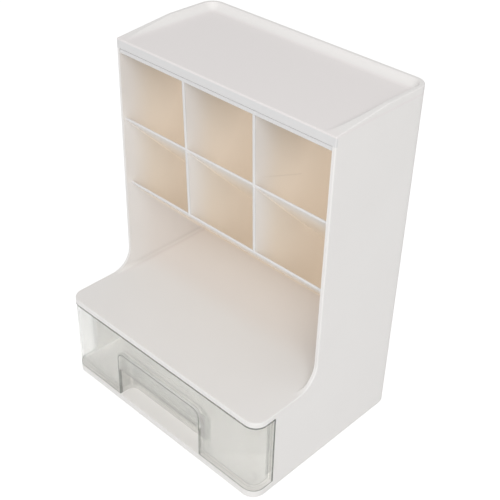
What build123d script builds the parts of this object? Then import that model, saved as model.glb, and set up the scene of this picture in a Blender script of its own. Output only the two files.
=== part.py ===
"""Brush holder with a clear drawer: a white moulded shell, a push-in divider and a sliding drawer.

Millimetres. X runs to the right, Y from the front to the back, Z up. The origin is on the surface
that the object stands on, under the middle of the base.
"""
from build123d import *
import math
import os

# ---------------------------------------------------------------- overall sizes
width = 180.0               # outside, left to right
depth = 138.0               # outside, front of the base to the back
height = 244.6              # surface to the back rim
wall = 2.4                  # side and back walls of the white moulding
edge_round = 0.8            # rounded outer edges of the white moulding
inner_round = 0.4           # rounded inner edges of its rims, and its edges over and under the drawer

# ---------------------------------------------------------------- base and shelf
pad_proud = 0.6             # how far the base stands off the surface, on its pads
bay_floor = 5.4             # height of the floor that the drawer slides on
base_plate = 2.4            # thickness of that floor
shelf_top = 65.4            # height of the open shelf
shelf_plate = 4.0           # thickness of the shelf, seen at its front edge
front_corner = 9.5          # plan radius of the front corners
back_corner = 10.0           # plan radius of the back corners
side_start = 18.0           # front of the base to the front edge of the lower side walls
shelf_cove = 2.5            # fillet where the shelf meets the walls
under_rib = 1.8             # thickness of the ribs under the floor
rib_columns = 4             # bays between the ribs under the floor, along X
rib_rows = 3                # the same, along Y

# ---------------------------------------------------------------- cabinet and tray
cabinet_depth = 84.2        # front edge of the upper side walls to the back
side_sweep = 16.0           # concave radius where the upper front edge meets the shelf
rim_high = 4.6              # how far the rims stand above the tray on top
tray_plate = 2.4            # thickness of the tray's floor
tray_band = 6.3             # height of the band along the tray's front
band_thick = 2.4            # its thickness
band_round = 0.8            # rounded upper edge of the band
rim_run = 44.2              # length over which the side rims rise to the full height
tray_cove = 7.2             # fillet between the tray's floor and its rims
tray_corner = 8.0           # plan radius of the tray's back corners

# ---------------------------------------------------------------- divider
fit = 0.3                   # gap between the divider and the walls
divider_thick = 2.0         # upright plates and top bar
columns = 3                 # cells side by side
plate_thick = 1.6           # sloping plates and top flange
plate_slope = 45.0          # degrees down towards the back
row_pitch = 49.25           # bar's top to the upper plate's front edge, and on to the lower plate's
top_bar = 2.8               # height of the bar under the tray's band
top_bar_gap = 0.5           # shadow gap between the band and the bar
top_flange = 14.0           # depth of the flange behind the bar
divider_lean = 3.9          # how far the divider's front falls back down to the lower plate
front_inset = 0.2           # its top front edge, behind the front of the side walls
leg_deep = 8.0              # legs at the back of the uprights, front to the divider's back
socket_deep = 1.0           # sockets in the shelf that the legs stand in
nose = 0.6                  # rounded front edges of the plates

# ---------------------------------------------------------------- drawer
slide_gap = 0.3             # under the drawer
head_gap = 0.5              # over the drawer
side_gap = 0.5              # each side of the drawer, and behind its front corners
drawer_back_gap = 1.2       # behind the drawer when it is shut
drawer_front = 2.6          # thickness of the clear front
drawer_wall = 2.0           # sides and back
drawer_floor = 2.0          # thickness of its floor
drawer_cove = 1.5           # fillet inside, round the drawer's floor
drawer_round = 0.5          # rounded outer edges of the clear front
side_drop = 2.0             # how much lower the sides and back are than the front

# ---------------------------------------------------------------- finger recess in the drawer's front
grip_half = 40.0            # half its width
grip_top = 44.0             # height of its ceiling, just behind the front
grip_corner = 6.0           # radius of its upper corners, seen from the front
lip_edge = 29.6             # height of the lower edge of the lip
lip_corner = 2.5            # radius of the opening's upper corners
grip_depth = 12.0           # front face to the recess's back wall, at the floor
grip_draft = 2.0            # how far that wall leans forward up to the shoulder
grip_shoulder = 28.0        # height where the sloping ceiling meets the back wall
grip_bend = 3.0             # radius of that shoulder
grip_plan = 6.0             # plan radius of its back corners
grip_wall = 1.8             # thickness of its clear walls
mark_x = 79.0               # two round ejector marks on the drawer's floor
mark_back = 13.0            # behind the front face
mark_round = 1.5            # their radius
mark_high = 0.3             # their height

# ---------------------------------------------------------------- feet
pad_round = 6.0             # radius of a foot pad
pad_thick = 1.6             # thickness of a foot pad
pad_fit = 0.1               # gap round a pad in its socket
pad_boss = 2.0              # wall of the socket
pad_inset = 16.0            # middle of a pad, in from the sides, the front and the back

# ---------------------------------------------------------------- worked out from the above
half_w = width / 2
half_d = depth / 2
inner_x = half_w - wall
inner_back = half_d - wall
inside_corner = back_corner - wall
cabinet_front = half_d - cabinet_depth
shelf_under = shelf_top - shelf_plate
tray_floor = height - rim_high
bay_front = side_start - half_d
band_low = tray_floor - tray_band
under_top = bay_floor - base_plate
over = 5.0                  # how far a cutting body runs past what it cuts

bar_top = band_low - top_bar_gap
upper_plate = bar_top - row_pitch
lower_plate = upper_plate - row_pitch
face_top = cabinet_front + front_inset
divider_back = inner_back - fit
divider_end = inner_x - fit
plate_drop = math.tan(math.radians(plate_slope))
plate_edge = plate_thick / math.cos(math.radians(plate_slope))
divider_foot = shelf_top + shelf_cove + fit
leg_front = divider_back - leg_deep
leg_back = divider_back - shelf_cove - socket_deep
socket_floor = shelf_top - socket_deep

drawer_low = bay_floor + slide_gap
drawer_high = shelf_under - head_gap
drawer_half = inner_x - side_gap
drawer_back = inner_back - drawer_back_gap
drawer_shoulder = bay_front - side_gap
drawer_inside = drawer_low + drawer_floor
drawer_corner = inside_corner - side_gap


# ---------------------------------------------------------------- helpers
def block(x0, x1, y0, y1, z0, z1):
    """A box between two corners."""
    centre = Pos((x0 + x1) / 2, (y0 + y1) / 2, (z0 + z1) / 2)
    return centre * Box(x1 - x0, y1 - y0, z1 - z0)


def plan(x_half, y0, y1, z0, z1, front_radius, back_radius):
    """An upright prism on a rectangle with rounded front and back corners."""
    outline = Polyline((-x_half, y0), (x_half, y0), (x_half, y1), (-x_half, y1), close=True)
    face = make_face(outline)
    middle = (y0 + y1) / 2
    if front_radius:
        face = fillet([v for v in face.vertices() if v.Y < middle and abs(v.Y - y0) < fit], front_radius)
    if back_radius:
        face = fillet([v for v in face.vertices() if v.Y > middle and abs(v.Y - y1) < fit], back_radius)
    return Pos(0, 0, z0) * extrude(face, z1 - z0)


def across(face, x0, x1):
    """A prism along X on a face drawn in (y, z)."""
    return Pos(x0, 0, 0) * extrude(Plane.YZ * face, x1 - x0)


def inward(face, y0, y1):
    """A prism along Y on a face drawn in (x, z)."""
    return Pos(0, y0, 0) * extrude(Plane.XZ * face, y0 - y1)


def floor_edges(body, behind):
    """Edges of the lowest face that lie behind a given y."""
    lowest = body.faces().sort_by(Axis.Z)[0]
    return [e for e in lowest.edges() if e.center().Y > behind]


# ---------------------------------------------------------------- shell
def side_outline():
    """The L-shaped side view, with the sweep from the upper front edge into the shelf."""
    face = make_face(Polyline(
        (-half_d, pad_proud), (half_d, pad_proud), (half_d, height),
        (cabinet_front + rim_run, height), (cabinet_front, tray_floor),
        (cabinet_front, shelf_top), (-half_d, shelf_top), close=True,
    ))
    angle = min(face.vertices(), key=lambda v: abs(v.X - cabinet_front) + abs(v.Y - shelf_top))
    return fillet(angle, side_sweep)


def outline_edges(body):
    """The edges that run round the L-shaped block: the shelf, the sweep, the cabinet's front and its top."""
    return [
        e for e in body.edges()
        if e.center().Z > shelf_under
        and (e.bounding_box().size.X < half_w or abs(e.center().Y) > half_d - fit)
        and (e.bounding_box().size.Z < half_w or e.center().Y < cabinet_front + fit)
    ]


def pad_places():
    """Middle of each foot pad, by the name of its corner."""
    pad_x = half_w - pad_inset
    pad_y = half_d - pad_inset
    return {
        f"{end}_{side}": (sx * pad_x, sy * pad_y)
        for end, sy in (("front", -1), ("back", 1))
        for side, sx in (("left", -1), ("right", 1))
    }


def under_hollow():
    """The hollow under the floor: crossed ribs stay, and so does a socket for each foot pad."""
    hollow = plan(inner_x, wall - half_d, inner_back, 0, under_top, front_corner - wall, inside_corner)
    pitch_x = 2 * inner_x / rib_columns
    pitch_y = (depth - 2 * wall) / rib_rows
    half_rib = under_rib / 2
    for i in range(1, rib_columns):
        x = i * pitch_x - inner_x
        hollow -= block(x - half_rib, x + half_rib, -half_d, half_d, 0, under_top)
    for i in range(1, rib_rows):
        y = i * pitch_y - inner_back
        hollow -= block(-half_w, half_w, y - half_rib, y + half_rib, 0, under_top)
    socket = pad_round + pad_fit
    for x, y in pad_places().values():
        hollow -= Pos(x, y, under_top / 2) * Cylinder(socket + pad_boss, under_top)
        hollow += Pos(x, y, pad_thick / 2) * Cylinder(socket, pad_thick)
    return hollow


def tray_on_top(body):
    """Cuts the tray into the top, rounds its band and the inside of its rims."""
    start = cabinet_front - depth
    tray = plan(inner_x, start, inner_back, tray_floor, height + 2 * tray_cove, 0, tray_corner)
    body -= fillet(floor_edges(tray, start + over), tray_cove)
    band = [
        e for e in body.edges()
        if abs(e.center().Z - tray_floor) < fit and abs(e.center().Y - cabinet_front) < fit
        and e.length > half_w
    ]
    body = fillet(band, band_round)
    rim = [
        e for e in body.edges()
        if e.center().Z > tray_floor + inner_round / 2 and e.length > wall
        and abs(e.center().X) < half_w - edge_round - fit
        and e.center().Y < half_d - edge_round - fit
        and abs(e.center().X) + e.center().Y < half_w + half_d - back_corner
    ]
    return fillet(rim, inner_round)


def cabinet_space(body):
    """Cuts the space between the shelf and the tray."""
    hall = plan(inner_x, -half_d - over, inner_back, shelf_top, band_low, 0, inside_corner)
    body -= fillet(floor_edges(hall, over - half_d), shelf_cove)
    behind_band = cabinet_front + band_thick
    under_tray = tray_floor - tray_plate
    return body - plan(inner_x, behind_band, inner_back, band_low - over, under_tray, 0, inside_corner)


def upright_places():
    """X of the middles of the uprights between the columns of cells."""
    cell = (2 * divider_end + divider_thick) / columns
    return [i * cell - divider_end - divider_thick / 2 for i in range(1, columns)]


def leg_socket(x):
    """The shallow socket in the shelf round the foot of a leg."""
    half = divider_thick / 2 + fit
    return block(x - half, x + half, leg_front - fit, leg_back + fit, socket_floor, shelf_top + over)


def shell():
    """The white moulding: base, shelf, side and back walls, and the tray on top."""
    footprint = plan(half_w, -half_d, half_d, 0, height, front_corner, back_corner)
    body = across(side_outline(), -half_w, half_w) & footprint
    body = fillet(outline_edges(body), edge_round)
    body = cabinet_space(tray_on_top(body))

    body -= plan(inner_x, -half_d - over, inner_back, bay_floor, shelf_under, 0, inside_corner)
    body -= block(-half_w - over, half_w + over, -half_d - over, bay_front, bay_floor, shelf_under)
    body -= under_hollow()
    for x in upright_places():
        body -= leg_socket(x)

    lips = [
        e for e in body.edges()
        if min(abs(e.center().Z - bay_floor), abs(e.center().Z - shelf_under)) < fit
        and e.center().Y < bay_front - fit and e.length > front_corner
        and (abs(e.center().Y + half_d) < fit or e.geom_type == GeomType.CIRCLE)
    ]
    return fillet(lips, inner_round)


# ---------------------------------------------------------------- divider
def divider_face(z):
    """Y of the divider's leaning front at a height."""
    return face_top + divider_lean * (bar_top - z) / (bar_top - lower_plate)


def sloping_plate(z_front):
    """A plate that slopes down from its rounded front edge, drawn past the back."""
    high = z_front + plate_edge / 2
    low = z_front - plate_edge / 2
    start = divider_face(z_front)
    end = start + depth
    drop = depth * plate_drop
    face = make_face(Polyline((start, high), (end, high - drop), (end, low - drop), (start, low), close=True))
    front = [v for v in face.vertices() if abs(v.X - start) < fit]
    return across(fillet(front, nose), -divider_end, divider_end)


def upright(x):
    """An upright plate between two columns of cells, with a rounded front edge, drawn past the back."""
    low = lower_plate - plate_edge / 2
    start = divider_face(lower_plate)
    end = start + depth
    face = make_face(Polyline(
        (face_top, bar_top), (start, low), (end, low - depth * plate_drop), (end, bar_top), close=True,
    ))
    plate = across(face, x - divider_thick / 2, x + divider_thick / 2)
    front = [e for e in plate.edges() if abs(e.center().Y - (face_top + start) / 2) < fit]
    return fillet(front, nose)


def leg(x):
    """A leg at the back of an upright, which stands in its socket in the shelf, in front of the cove."""
    face = make_face(Polyline(
        (leg_front, socket_floor), (leg_back, socket_floor), (leg_back, divider_foot),
        (divider_back, divider_foot), (divider_back, bar_top), (leg_front, bar_top), close=True,
    ))
    return across(face, x - divider_thick / 2, x + divider_thick / 2)


def divider():
    """Two sloping plates, two uprights and a flanged top bar, in one white moulding."""
    bar = block(-divider_end, divider_end, face_top, face_top + divider_thick, bar_top - top_bar, bar_top)
    bar = fillet(bar.edges().filter_by(Axis.X).group_by(Axis.Y)[0], nose)
    body = bar + block(-divider_end, divider_end, face_top + nose, face_top + top_flange,
                       bar_top - plate_thick, bar_top)
    body += sloping_plate(upper_plate)
    body += sloping_plate(lower_plate)
    for x in upright_places():
        body += upright(x)
    body &= plan(divider_end, face_top - over, divider_back, divider_foot, height, 0, inside_corner)
    for x in upright_places():
        body += leg(x)
    return body


# ---------------------------------------------------------------- drawer
def grip_form(grow):
    """The space of the finger recess, grown on all sides: a front, a side and a plan view crossed."""
    top = grip_top + grow
    half = grip_half + grow
    front = make_face(Polyline((-half, 0), (half, 0), (half, top), (-half, top), close=True))
    front = fillet([v for v in front.vertices() if v.Y > grip_top - fit], grip_corner + grow)

    deep = grip_depth - half_d
    side = make_face(Polyline(
        (-half_d, -over), (deep, -over), (deep, drawer_low), (deep - grip_draft, grip_shoulder),
        (drawer_front - half_d, grip_top), (-half_d, grip_top), close=True,
    ))
    shoulder = min(side.vertices(), key=lambda v: abs(v.X - deep + grip_draft) + abs(v.Y - grip_shoulder))
    side = fillet(shoulder, grip_bend)
    if grow:
        side = offset(side, grow)

    footprint = plan(half, -half_d - over, deep + grow, 0, top, 0, grip_plan + grow)
    return inward(front, -half_d, deep + grow) & across(side, -half, half) & footprint


def drawer():
    """The clear drawer: its front wraps the base's front corners, its body runs between the side walls."""
    front = plan(half_w, -half_d, drawer_shoulder, drawer_low, drawer_high, front_corner, 0)
    front_rim = [
        e for e in front.edges()
        if e.center().Y < drawer_shoulder - fit and e.bounding_box().size.Z < fit
    ]
    front = fillet(front_rim, drawer_round)
    side_high = drawer_high - side_drop
    tub = plan(drawer_half, -half_d + front_corner, drawer_back, drawer_low, side_high, 0, drawer_corner)
    outer = front + tub

    front_space = plan(half_w - drawer_front, drawer_front - half_d, 0, drawer_inside, height,
                       front_corner - drawer_front, 0)
    front_space &= block(-half_w, half_w, -half_d, drawer_shoulder - drawer_wall, 0, height)
    tub_space = plan(drawer_half - drawer_wall, drawer_shoulder - 2 * drawer_wall, drawer_back - drawer_wall,
                     drawer_inside, height, 0, drawer_corner - drawer_wall)
    space = front_space + tub_space
    space = fillet(floor_edges(space, -half_d), drawer_cove)

    opening = make_face(Polyline(
        (-grip_half, 0), (grip_half, 0), (grip_half, lip_edge), (-grip_half, lip_edge), close=True,
    ))
    opening = fillet([v for v in opening.vertices() if v.Y > lip_edge - fit], lip_corner)
    lip_back = drawer_front - half_d
    behind_lip = block(-half_w, half_w, lip_back, half_d, -over, height)

    body = (outer - space) + (grip_form(grip_wall) & outer)
    body -= grip_form(0) & behind_lip
    body -= inward(opening, -half_d - over, lip_back)
    for sign in (-1, 1):
        mark = Pos(sign * mark_x, mark_back - half_d, drawer_inside + mark_high / 2)
        body += mark * Cylinder(mark_round, mark_high)
    return body


# ---------------------------------------------------------------- feet
def foot_pad(x, y):
    """A thin round anti-slip pad, softened where it meets the surface."""
    pad = Cylinder(pad_round, pad_thick)
    pad = chamfer(pad.faces().sort_by(Axis.Z)[0].edges(), pad_proud / 2)
    return Pos(x, y, pad_thick / 2) * pad


def main():
    """Write one STEP file for each piece."""
    pieces = {"shell": shell(), "divider": divider(), "drawer": drawer()}
    for corner, (x, y) in pad_places().items():
        pieces[f"foot_pad_{corner}"] = foot_pad(x, y)
    os.makedirs("parts", exist_ok=True)
    for name, piece in pieces.items():
        export_step(piece, f"parts/{name}.step")


main()
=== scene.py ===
"""The looks of a white brush holder with a clear drawer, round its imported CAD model, in metres.

X runs to the right, Y from the front to the back, Z up, and the holder stands on z = 0.
"""
import math
from types import SimpleNamespace

import bpy
import numpy as np
from mathutils import Matrix, Vector


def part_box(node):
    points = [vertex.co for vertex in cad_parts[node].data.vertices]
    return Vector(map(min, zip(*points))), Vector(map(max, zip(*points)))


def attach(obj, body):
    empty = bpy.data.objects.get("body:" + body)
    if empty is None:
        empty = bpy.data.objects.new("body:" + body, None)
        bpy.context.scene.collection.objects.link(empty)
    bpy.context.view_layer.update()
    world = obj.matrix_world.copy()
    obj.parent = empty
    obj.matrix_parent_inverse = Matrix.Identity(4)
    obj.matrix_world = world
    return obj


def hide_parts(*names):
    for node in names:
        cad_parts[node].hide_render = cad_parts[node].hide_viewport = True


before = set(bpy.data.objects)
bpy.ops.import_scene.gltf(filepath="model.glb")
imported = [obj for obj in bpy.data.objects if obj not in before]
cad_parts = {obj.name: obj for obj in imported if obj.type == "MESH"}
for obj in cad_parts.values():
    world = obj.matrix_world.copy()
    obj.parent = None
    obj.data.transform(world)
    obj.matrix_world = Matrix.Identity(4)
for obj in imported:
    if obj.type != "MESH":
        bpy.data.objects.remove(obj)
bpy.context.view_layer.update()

bl_info = {
    "name": "Brush holder looks",
    "version": (1, 0, 0),
    "blender": (4, 5, 0),
    "location": "3D View > Sidebar > Brush holder",
    "description": "Finishes for a white brush holder with a clear drawer",
    "category": "Object",
}

# ---------------------------------------------------------------- places on the holder
MM = 0.001
SHELF = 65.4 * MM                   # height of the open shelf
FLOOR_UNDER = 3.0 * MM              # height of the underside of the bay's floor
TRAY_FLOOR = 240.0 * MM             # height of the tray's floor
BACK_CORNER = 151.5 * MM            # x + y midway between the inside and the outside of a back corner
LOWER_PLATE = 134.7 * MM            # height of the front edge of the lower sloping plate
ROW_PITCH = 49.25 * MM              # from that edge to the upper plate's
DIVIDER_TOP = 233.2 * MM            # height of the divider
FACE_LEAN = 0.0396                  # how far the divider's front falls back for each unit down
FRONT_ROUND = 9.5 * MM              # plan radius of the drawer's front corners
FRONT_THICK = 2.6 * MM              # thickness of its front
WRAP_END = -51.5 * MM               # y where its front ends, round the corners
RECESS_HALF = 40.0 * MM             # half the width of its finger recess
RECESS_TOP = 44.0 * MM              # height of the recess
RECESS_ROUND = 6.0 * MM             # radius of the recess's upper corners
SCUFF = Vector((30.3, -11.8, 188.6)) * MM    # front end of a scuff on an upright's side
SCUFF_BACK = 31.0 * MM              # y of its back end
SCUFF_FALL = 0.339                  # how far it falls for each unit back

# ---------------------------------------------------------------- stage
BLACK = (0.0, 0.0, 0.0, 1.0)
WHITE = (1.0, 1.0, 1.0, 1.0)
FLOOR_HALF = 30.0                   # half the side of the floor
FLOOR_POINTS = 61                   # points along each side of it
FLOOR_PALE = 0.8                    # its grey
LAMP_AIM = Vector((0.0, 0.0, 0.12))
LAMPS = (                           # name, place, side of the square, power in watts
    ("eye", (1.1, -1.15, 1.4), 1.2, 15.0),
    ("top", (0.2, 0.1, 1.8), 1.4, 2.0),
    ("front right", (0.8, -1.4, 0.8), 1.0, 3.8),
)
EYE = Vector((0.364288, -0.370283, 0.478478))
AIM = Vector((0.015958, 0.0, 0.123661))
ROLL = 0.029                        # radians
FOCAL = 964.517                     # focal length in pixels of the picture
PICTURE = 500.0                     # width of the picture in pixels
SENSOR = 36.0                       # width of the camera's sensor in its own millimetres


# ---------------------------------------------------------------- shader sums
class Sum:
    """A value socket that adds Math nodes when it is used in a sum."""

    def __init__(self, tree, socket):
        self.tree = tree
        self.socket = socket

    def node(self, kind, settings=None, out=0, **inputs):
        """Makes any node: its settings first, then the values or links of its sockets."""
        made = self.tree.nodes.new(kind)
        for name, value in (settings or {}).items():
            setattr(made, name, value)
        for name, value in inputs.items():
            key = int(name[1:]) if name[0] == "_" else name.replace("_", " ")
            socket = made.inputs[key]
            if isinstance(value, Sum):
                self.tree.links.new(value.socket, socket)
            else:
                socket.default_value = value
        return Sum(self.tree, made.outputs[out])

    def do(self, operation, *values):
        """A Math node on this socket and others."""
        places = {f"_{i}": v for i, v in enumerate((self, *values))}
        return self.node("ShaderNodeMath", {"operation": operation}, **places)

    def __add__(self, other):
        return self.do("ADD", other)

    __radd__ = __add__

    def __mul__(self, other):
        return self.do("MULTIPLY", other)

    __rmul__ = __mul__

    def __sub__(self, other):
        return self.do("SUBTRACT", other)

    def __rsub__(self, other):
        return self.node("ShaderNodeMath", {"operation": "SUBTRACT"}, _0=other, _1=self)

    def __truediv__(self, other):
        return self.do("DIVIDE", other)

    def size(self):
        """The value without its sign."""
        return self.do("ABSOLUTE")

    def most(self, other):
        """The greater of two values."""
        return self.do("MAXIMUM", other)

    def step(self, none, full):
        """A smooth share, 0 at none and 1 at full, held beyond them; none may be the greater."""
        return self.node("ShaderNodeMapRange", {"interpolation_type": "SMOOTHSTEP"}, _0=self,
                         _1=none, _2=full, _3=0.0, _4=1.0)


def finish_of(name):
    """A new material with one Principled shader, a socket wrapper that makes its nodes, and object places."""
    material = bpy.data.materials.new(name)
    material.use_nodes = True
    shader = material.node_tree.nodes["Principled BSDF"]
    make = Sum(material.node_tree, None)
    return material, shader, make, make.node("ShaderNodeTexCoord", out=3)


def axes(make, vector):
    """The three parts of a vector."""
    return tuple(make.node("ShaderNodeSeparateXYZ", Vector=vector, out=i) for i in range(3))


def noise(make, place, scale, detail=2.0, rough=0.5):
    """Noise in 0..1 at so many waves a metre."""
    return make.node("ShaderNodeTexNoise", Vector=place, Scale=scale, Detail=detail, Roughness=rough)


def blend(make, share, one, two):
    """A colour that goes from one to two with a share in 0..1."""
    return make.node("ShaderNodeMix", {"data_type": "RGBA"}, out=2, _0=share, _6=one, _7=two)


def darker(colour, share):
    """A colour at a share of its brightness."""
    return tuple(share * c for c in colour[:3]) + (1.0,)


def wire(make, shader, **sockets):
    """Links sums, or sets numbers, on the shader's own sockets."""
    for name, value in sockets.items():
        socket = shader.inputs[name.replace("_", " ")]
        if isinstance(value, Sum):
            make.tree.links.new(value.socket, socket)
        else:
            socket.default_value = value


# ---------------------------------------------------------------- places on the white mouldings
def scuff_line(x, y, z):
    """A share that is 1 on one thin scuff, which falls to the back along the side of an upright."""
    off = (z - SCUFF.z + (y - SCUFF.y) * SCUFF_FALL).size()
    near = (x - SCUFF.x).size().step(0.9 * MM, 0.6 * MM)
    run = y.step(SCUFF.y - 1.2 * MM, 12.0 * MM) * y.step(SCUFF_BACK, SCUFF_BACK - 3.0 * MM)
    return off.step(0.7 * MM, 0.2 * MM) * near * run


def places_inside(make, place):
    """Shares in 0..1 by where a point of the white mouldings lies.

    cells and under are the space behind the sloping plates' front edges and the space below them; cells get
    painted warm shade and under painted shade. light is a painted glow, emission in place of what comes
    through the walls there, and bay is the painted glow round the drawer. below marks what faces down, crease
    where the side walls meet the shelf, rims the front edges, and tray its floor; these four carry painted
    shade.
    A cell's depth is its way back plus its nearness to the plate under it. The plates fall 45 degrees, so
    height + way back, counted in rows, tells the row and the place in it.
    """
    low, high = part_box("divider")
    x, y, z = axes(make, place)
    facing = axes(make, make.node("ShaderNodeNewGeometry", out=3))[2]
    side, way = x.size(), y - low.y

    within = side.step(high.x + 1.2 * MM, high.x + 0.6 * MM) * y.step(high.y + 1.2 * MM, high.y + 0.6 * MM)
    within = within * (side + y).step(BACK_CORNER + 0.5 * MM, BACK_CORNER - 0.5 * MM)
    under_roof = z.step(high.z + 6.2 * MM, high.z + 5.6 * MM)
    cabinet = within * under_roof * z.step(SHELF - 0.4 * MM, SHELF - 0.1 * MM)

    rows = (z + way - LOWER_PLATE) / ROW_PITCH
    upper = rows.do("GREATER_THAN", 1.0)
    in_cells = rows.step(0.0, 0.06)
    # faces that face down inside the cabinet get painted shade and less painted glow
    below = facing.step(-0.3, -0.6)
    deep = (way + (0.5 - rows + upper) * (30.0 * MM)).step(-4.0 * MM, 45.0 * MM)
    deep = deep * (1.0 + way.step(30.0 * MM, 75.0 * MM) * 0.45)
    # painted glow in the cells, brighter deeper in and in the lower row less
    cell_light = deep * (upper * 0.37 + 0.63) * in_cells * (1.0 - below * 0.2)
    under_light = (1.0 - in_cells) * way.step(0.0, 80.0 * MM) * (facing.step(0.3, 0.8) * 0.38 + 0.15)
    start = cabinet * way.step(3.0 * MM, 27.0 * MM)

    bay_high = z.step(SHELF - 1.8 * MM, SHELF - 2.4 * MM) * z.step(FLOOR_UNDER, FLOOR_UNDER + 1.5 * MM)
    corner = (side - high.x).size() + (z - SHELF).size()
    # painted shade where the side walls meet the shelf
    crease = cabinet * corner.step(4.5 * MM, 1.0 * MM) * way.step(-10.0 * MM, 12.0 * MM)

    lean = way - (DIVIDER_TOP - z) * FACE_LEAN
    # front edges of the divider, which get painted shade against the light they catch
    edges = lean.step(1.3 * MM, 0.6 * MM) * side.step(high.x + 0.2 * MM, high.x)
    edges = edges * z.step(LOWER_PLATE - 3.7 * MM, LOWER_PLATE - 2.7 * MM) * cabinet
    band = lean.step(1.6 * MM, 0.8 * MM) * z.step(DIVIDER_TOP + 0.1 * MM, DIVIDER_TOP + 0.5 * MM)
    over_tray = z.step(TRAY_FLOOR + 0.2 * MM, TRAY_FLOOR + 0.9 * MM)

    return SimpleNamespace(
        cells=start * in_cells,
        under=start * (1.0 - in_cells),
        light=cabinet * (cell_light + under_light),
        bay=within * bay_high * y.step(-66.0 * MM, -40.0 * MM),
        below=cabinet * below,
        crease=crease * 0.6,
        rims=edges.most(band),
        tray=z.step(TRAY_FLOOR - 1.5 * MM, TRAY_FLOOR - 0.5 * MM) * (1.0 - over_tray),
        scuff=scuff_line(x, y, z),
    )


# ---------------------------------------------------------------- finishes
def white_plastic(name, look, rough):
    """Satin white moulding: a faint drift of colour, fine grain, a few rubbed places and a weak waviness.
    It has painted shade on the front edges, on the tray's floor, on faces that face down, along the creases
    and under the cells, and painted warm shade deep in the cells; a painted glow, emission in place of the
    light that comes through the thin walls, fills the cells and the bay round the drawer."""
    material, shader, make, place = finish_of(name)
    drift = noise(make, place, 14.0)
    grain = noise(make, place, 2600.0, 1.0)
    rubbed = noise(make, place, 60.0, 4.0, 0.6).step(0.52, 0.75)
    at = places_inside(make, place)
    colour = blend(make, drift.step(0.3, 0.7), look.white, look.white_deep)
    # painted shade on the front edges and the band at the top
    colour = blend(make, at.rims, colour, look.rim_shade)
    # painted shade on the tray's recessed floor
    colour = blend(make, at.tray, colour, look.tray)
    # painted warm shade deep inside the cells
    colour = blend(make, at.cells, colour, look.warm_cell_shade)
    # painted shade on faces that face down inside the cabinet; the scuff's dark line is a mark on the plastic
    colour = blend(make, at.below * 0.3 + at.scuff * 0.35, colour, darker(look.warm_cell_shade, 0.8))
    # painted shade under the cells and along the creases, darkest in the creases
    colour = blend(make, at.under * 0.7 + at.crease * 0.3, colour, look.shade)
    colour = blend(make, at.crease * 0.6, colour, darker(look.shade, 0.72))
    bump = make.node("ShaderNodeBump", Strength=0.25, Distance=0.04 * MM, Height=grain + drift * 4.0)
    wire(make, shader, Base_Color=colour, Roughness=rough + drift * 0.05 + rubbed * 0.04, Normal=bump)
    # painted glow: emission in the cells, under them and round the drawer, in place of light through the thin
    # walls
    through = blend(make, at.bay, blend(make, at.light, BLACK, look.through), look.bay_light)
    wire(make, shader, IOR=1.42, Emission_Color=through, Emission_Strength=1.0)
    return material


def outside_round(across, along, radius):
    """Distance outside a rounded corner, from how far a point lies past the corner's centre each way."""
    one, two = across.most(0.0), along.most(0.0)
    return (one * one + two * two).do("SQRT") + across.most(along).do("MINIMUM", 0.0) - radius


def edge_lines(make, place):
    """A share that is 1 in thin lines of painted shade along the drawer's edges, in place of the light that
    they
    trap: its foot, its top, the ends of its wrapped front and the outline of the finger recess."""
    low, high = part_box("drawer")
    x, y, z = axes(make, place)
    side = x.size()
    skin = outside_round(side - (high.x - FRONT_ROUND), low.y + FRONT_ROUND - y, FRONT_ROUND)
    skin = skin.step(-0.9 * MM, -0.4 * MM) * y.step(WRAP_END + 1.5 * MM, WRAP_END - 0.5 * MM)
    foot = z.step(low.z + 0.9 * MM, low.z + 0.4 * MM)
    top = z.step(high.z - 0.7 * MM, high.z - 0.3 * MM)
    wrap = side.step(high.x - 2.0 * MM, high.x - 1.0 * MM) * y.step(WRAP_END - 0.9 * MM, WRAP_END - 0.3 * MM)
    middle, rise = RECESS_HALF - RECESS_ROUND, RECESS_TOP - RECESS_ROUND
    recess = outside_round(side - middle, z - rise, RECESS_ROUND).size().step(0.6 * MM, 0.3 * MM)
    lip = y.step(low.y + FRONT_THICK, low.y + FRONT_THICK - 0.6 * MM)
    return (foot.most(top) * skin).most(wrap).most(recess * lip * 0.8)


def clear_plastic(name, look, rough):
    """Polished clear moulding: part glass, part plain see-through, with painted shade where it is seen along
    its wall and in painted dark lines along its edges. Light on its way to what lies behind it goes straight
    through, only tinted: a mix by the kind of ray."""
    material, shader, make, place = finish_of(name)
    haze = noise(make, place, 90.0, 3.0)
    swirl = noise(make, place, 22.0)
    bump = make.node("ShaderNodeBump", Strength=0.15, Distance=0.1 * MM, Height=swirl)
    wire(make, shader, Base_Color=blend(make, haze, look.tint, darker(look.tint, 0.985)))
    wire(make, shader, Roughness=rough + haze * 0.02, Normal=bump)
    wire(make, shader, IOR=1.46, Transmission_Weight=1.0)
    shadow = make.node("ShaderNodeLightPath", out=1)
    spread = make.node("ShaderNodeLightPath", out=2)
    one_wall = tuple(math.sqrt(c) for c in look.tint[:3]) + (1.0,)
    passing = make.node("ShaderNodeBsdfTransparent", Color=one_wall)
    # painted shade: dark see-through at grazing views and along the edge lines
    dark = make.node("ShaderNodeBsdfTransparent", Color=look.edge)
    along = make.node("ShaderNodeLayerWeight", out=1, Blend=0.5)
    lines = edge_lines(make, place)
    plain = make.node("ShaderNodeMixShader", _0=along.step(0.85, 1.0).most(lines), _1=passing, _2=dark)
    glass = Sum(make.tree, shader.outputs["BSDF"])
    seen = make.node("ShaderNodeMixShader", _0=0.36 - lines * 0.3, _1=plain, _2=glass)
    mixed = make.node("ShaderNodeMixShader", _0=shadow.most(spread), _1=seen, _2=passing)
    make.tree.links.new(mixed.socket, make.tree.nodes["Material Output"].inputs["Surface"])
    return material


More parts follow.
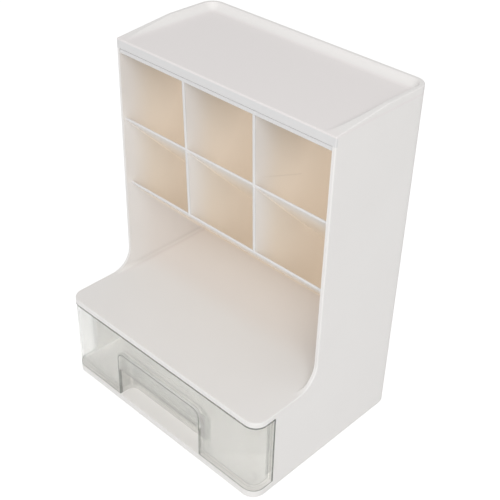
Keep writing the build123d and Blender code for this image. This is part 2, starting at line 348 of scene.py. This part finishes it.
def soft_pad(name, colour):
    """Matt rubbery pad."""
    material, shader, make, place = finish_of(name)
    grain = noise(make, place, 1500.0)
    bump = make.node("ShaderNodeBump", Strength=0.4, Distance=0.05 * MM, Height=grain)
    mottled = blend(make, grain, colour, darker(colour, 0.85))
    wire(make, shader, Base_Color=mottled, Roughness=0.55 + grain * 0.2, Normal=bump)
    return material


def studio_floor(name, pale):
    """A pale matt floor with a faint mottle. What the camera, gloss and clear plastic see of it is brighter,
    and it still takes the shadows."""
    material, shader, make, place = finish_of(name)
    mottle = noise(make, place, 3.0)
    wire(make, shader, Roughness=0.9, Emission_Strength=0.5)
    wire(make, shader, Base_Color=blend(make, mottle, darker(WHITE, pale), darker(WHITE, pale * 0.98)))
    seen = make.node("ShaderNodeLightPath", out=0)
    gloss = make.node("ShaderNodeLightPath", out=3)
    through = make.node("ShaderNodeLightPath", out=6)
    wire(make, shader, Emission_Color=blend(make, seen.most(gloss).most(through), BLACK, WHITE))
    return material


# ---------------------------------------------------------------- meshes
def grid_mesh(name, points, wrap=False):
    """A mesh from a grid of points (rows, columns, 3); wrap joins the last column to the first."""
    rows, columns = points.shape[:2]
    across = columns if wrap else columns - 1
    r, c = np.meshgrid(np.arange(rows - 1), np.arange(across), indexing="ij")
    nxt = (c + 1) % columns
    faces = np.stack([r * columns + c, r * columns + nxt, (r + 1) * columns + nxt, (r + 1) * columns + c], -1)
    mesh = bpy.data.meshes.new(name)
    mesh.from_pydata(points.reshape(-1, 3), [], faces.reshape(-1, 4).tolist())
    mesh.polygons.foreach_set("use_smooth", np.ones(len(mesh.polygons), bool))
    mesh.update()
    thing = bpy.data.objects.new(name, mesh)
    bpy.context.scene.collection.objects.link(thing)
    return thing


def turned_pad(name, low, high):
    """A round pad: its profile, a rounded rectangle to a power, is turned about the middle of its box."""
    centre = (low + high) / 2
    radius, half = (high.x - low.x) / 2, (high.z - low.z) / 2
    t = np.linspace(-np.pi / 2, np.pi / 2, 25)
    soft = np.abs(np.sin(t)) ** 0.35 * np.sign(np.sin(t))
    out = np.abs(np.cos(t)) ** 0.12
    out[0] = out[-1] = 0.0
    turn = np.linspace(0, 2 * np.pi, 64, endpoint=False)
    ring = np.stack([np.cos(turn), np.sin(turn), np.zeros_like(turn)], -1)
    rise = half * soft[:, None, None] * np.array([0.0, 0.0, 1.0])
    points = np.array(centre) + radius * out[:, None, None] * ring[None] + rise
    return grid_mesh(name, points, wrap=True)


# ---------------------------------------------------------------- stage pieces
def add_floor():
    """The pale floor, far wider than the view."""
    span = np.linspace(-FLOOR_HALF, FLOOR_HALF, FLOOR_POINTS)
    x, y = np.meshgrid(span, span, indexing="ij")
    floor = grid_mesh("floor", np.stack([x, y, np.zeros_like(x)], -1))
    floor.data.materials.append(studio_floor("studio floor", FLOOR_PALE))


def add_room_light(scene, strength):
    """Even light all round."""
    world = bpy.data.worlds.new("studio")
    scene.world = world
    world.use_nodes = True
    back = world.node_tree.nodes["Background"]
    back.inputs["Color"].default_value = WHITE
    back.inputs["Strength"].default_value = strength


def add_lamp(scene, name, place, size, power):
    """A square lamp that faces the middle of the holder."""
    lamp = bpy.data.lights.new(name, "AREA")
    lamp.shape, lamp.size, lamp.energy = "SQUARE", size, power
    spot = Vector(place)
    turn = (LAMP_AIM - spot).to_track_quat("-Z", "Y").to_matrix().to_4x4()
    thing = bpy.data.objects.new(name, lamp)
    thing.matrix_world = Matrix.Translation(spot) @ turn
    scene.collection.objects.link(thing)


def add_camera(scene):
    """The camera at the photograph's viewing angle, rolled a little."""
    data = bpy.data.cameras.new("view")
    camera = bpy.data.objects.new("view", data)
    scene.collection.objects.link(camera)
    ahead = (AIM - EYE).normalized()
    side = ahead.cross(Vector((0, 0, 1))).normalized()
    up = side.cross(ahead)
    c, s = math.cos(ROLL), math.sin(ROLL)
    side, up = c * side + s * up, c * up - s * side
    turn = Matrix((side, up, -ahead)).transposed().to_4x4()
    camera.matrix_world = Matrix.Translation(EYE) @ turn
    data.sensor_width = SENSOR
    data.lens = FOCAL * SENSOR / PICTURE
    data.clip_start, data.clip_end = 0.01, 100.0
    scene.camera = camera


# ---------------------------------------------------------------- settings
class HolderSettings(bpy.types.PropertyGroup):
    """Colours and levels of the finishes."""

    white: bpy.props.FloatVectorProperty(
        name="White", description="Colour of the white mouldings", subtype="COLOR", size=4,
        default=(0.84, 0.822, 0.806, 1.0), min=0.0, max=1.0)
    white_deep: bpy.props.FloatVectorProperty(
        name="White, drift", description="Colour that the white drifts to", subtype="COLOR", size=4,
        default=(0.83, 0.812, 0.796, 1.0), min=0.0, max=1.0)
    # painted shade on the front edges
    rim_shade: bpy.props.FloatVectorProperty(
        name="Rims", description="Colour of the white on the front edges", subtype="COLOR", size=4,
        default=(0.73, 0.725, 0.725, 1.0), min=0.0, max=1.0)
    # painted shade on the tray's floor
    tray: bpy.props.FloatVectorProperty(
        name="Tray", description="Colour of the white on the tray's floor", subtype="COLOR", size=4,
        default=(0.83, 0.795, 0.785, 1.0), min=0.0, max=1.0)
    # painted warm shade deep inside the cabinet
    warm_cell_shade: bpy.props.FloatVectorProperty(
        name="Cream", description="Colour of the white deep inside the cabinet", subtype="COLOR", size=4,
        default=(0.84, 0.78, 0.70, 1.0), min=0.0, max=1.0)
    shade: bpy.props.FloatVectorProperty(
        name="Shade", description="Colour of the white under the cells", subtype="COLOR", size=4,
        default=(0.80, 0.755, 0.725, 1.0), min=0.0, max=1.0)
    # painted glow in the cells, given as an emission
    through: bpy.props.FloatVectorProperty(
        name="Light through", description="Light that comes through the thin walls of the cells",
        subtype="COLOR", size=4, default=(0.14, 0.122, 0.104, 1.0), min=0.0, max=1.0)
    # painted glow round the drawer, given as an emission
    bay_light: bpy.props.FloatVectorProperty(
        name="Light in the bay", description="Light that comes through the walls round the drawer",
        subtype="COLOR", size=4, default=(0.215, 0.214, 0.204, 1.0), min=0.0, max=1.0)
    tint: bpy.props.FloatVectorProperty(
        name="Drawer tint", description="Colour of the clear plastic", subtype="COLOR", size=4,
        default=(0.975, 0.976, 0.966, 1.0), min=0.0, max=1.0)
    # painted shade on the drawer's edges and where it is seen along its wall
    edge: bpy.props.FloatVectorProperty(
        name="Drawer edges", description="Colour of the clear plastic seen along its wall", subtype="COLOR",
        size=4, default=(0.35, 0.37, 0.36, 1.0), min=0.0, max=1.0)
    pad: bpy.props.FloatVectorProperty(
        name="Pads", description="Colour of the foot pads", subtype="COLOR", size=4,
        default=(0.55, 0.55, 0.54, 1.0), min=0.0, max=1.0)
    room: bpy.props.FloatProperty(
        name="Room light", description="Strength of the even light all round", subtype="FACTOR",
        default=0.56, min=0.0, max=1.0)


# ---------------------------------------------------------------- operators
def finish_node(node, material):
    """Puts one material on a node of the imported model, in place of its own."""
    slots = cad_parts[node].data.materials
    slots.clear()
    slots.append(material)


class HOLDER_OT_white(bpy.types.Operator):
    """Finish the shell and the divider"""

    bl_idname = "holder.white"
    bl_label = "White mouldings"

    def execute(self, context):
        for node in ("shell", "divider"):
            finish_node(node, white_plastic(f"{node} white", context.scene.holder, 0.46))
        return {"FINISHED"}


class HOLDER_OT_drawer(bpy.types.Operator):
    """Finish the clear drawer"""

    bl_idname = "holder.drawer"
    bl_label = "Clear drawer"

    def execute(self, context):
        finish_node("drawer", clear_plastic("drawer clear", context.scene.holder, 0.02))
        return {"FINISHED"}


class HOLDER_OT_pads(bpy.types.Operator):
    """Make the four foot pads"""

    bl_idname = "holder.pads"
    bl_label = "Foot pads"

    def execute(self, context):
        finish = soft_pad("pad rubber", context.scene.holder.pad)
        for node in sorted(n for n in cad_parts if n.startswith("foot_pad")):
            piece = turned_pad(f"{node}_looks", *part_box(node))
            piece.data.materials.append(finish)
            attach(piece, "holder")
            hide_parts(node)
        return {"FINISHED"}


class HOLDER_OT_stage(bpy.types.Operator):
    """Set the floor, the lamps and the camera"""

    bl_idname = "holder.stage"
    bl_label = "Stage"

    def execute(self, context):
        scene = context.scene
        add_floor()
        add_room_light(scene, scene.holder.room)
        for lamp in LAMPS:
            add_lamp(scene, *lamp)
        add_camera(scene)
        scene.view_settings.view_transform = "Standard"
        return {"FINISHED"}


class HOLDER_PT_looks(bpy.types.Panel):
    """The steps that dress the holder"""

    bl_idname = "HOLDER_PT_looks"
    bl_label = "Brush holder"
    bl_space_type = "VIEW_3D"
    bl_region_type = "UI"
    bl_category = "Brush holder"

    def draw(self, context):
        for name in HolderSettings.__annotations__:
            self.layout.prop(context.scene.holder, name)
        for step in STEPS:
            self.layout.operator(step.bl_idname)


STEPS = (HOLDER_OT_white, HOLDER_OT_drawer, HOLDER_OT_pads, HOLDER_OT_stage)
CLASSES = (HolderSettings, *STEPS, HOLDER_PT_looks)


def register():
    """Registers the classes and hangs the settings on the scene."""
    for item in CLASSES:
        bpy.utils.register_class(item)
    bpy.types.Scene.holder = bpy.props.PointerProperty(type=HolderSettings)


def unregister():
    """Takes the settings and the classes away again."""
    del bpy.types.Scene.holder
    for item in reversed(CLASSES):
        bpy.utils.unregister_class(item)


def main():
    """Dresses the holder step by step."""
    register()
    for step in STEPS:
        area, name = step.bl_idname.split(".")
        getattr(getattr(bpy.ops, area), name)()


if __name__ == "__main__":
    main()
